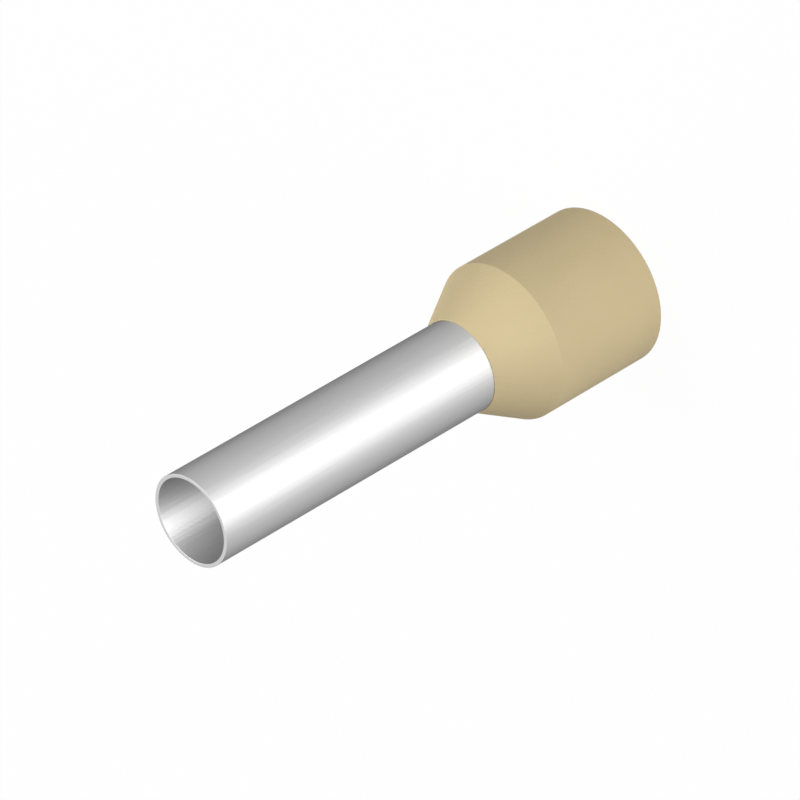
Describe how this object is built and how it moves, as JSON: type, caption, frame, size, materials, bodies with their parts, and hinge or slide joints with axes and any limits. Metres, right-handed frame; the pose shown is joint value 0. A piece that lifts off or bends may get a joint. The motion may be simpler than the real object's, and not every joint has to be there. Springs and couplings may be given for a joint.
{
  "type": "wire ferrule",
  "caption": "Insulated wire ferrule: a thin tinned copper tube whose flared end sits in a moulded plastic collar with a conical shoulder.",
  "frame": {"origin": "centre of the collar's flat mouth, on which the ferrule stands", "axes": "+Z along the axis from the collar's mouth to the sleeve's tip; the part is round, so +X and +Y are any two directions square to it"},
  "size_m": [0.0084, 0.0084, 0.028],
  "materials": {
    "tinned_copper": "satin",
    "beige_polypropylene": "satin"
  },
  "bodies": {
    "root": {"metal_sleeve": "tinned_copper", "plastic_collar": "beige_polypropylene"}
  },
  "joints": []
}
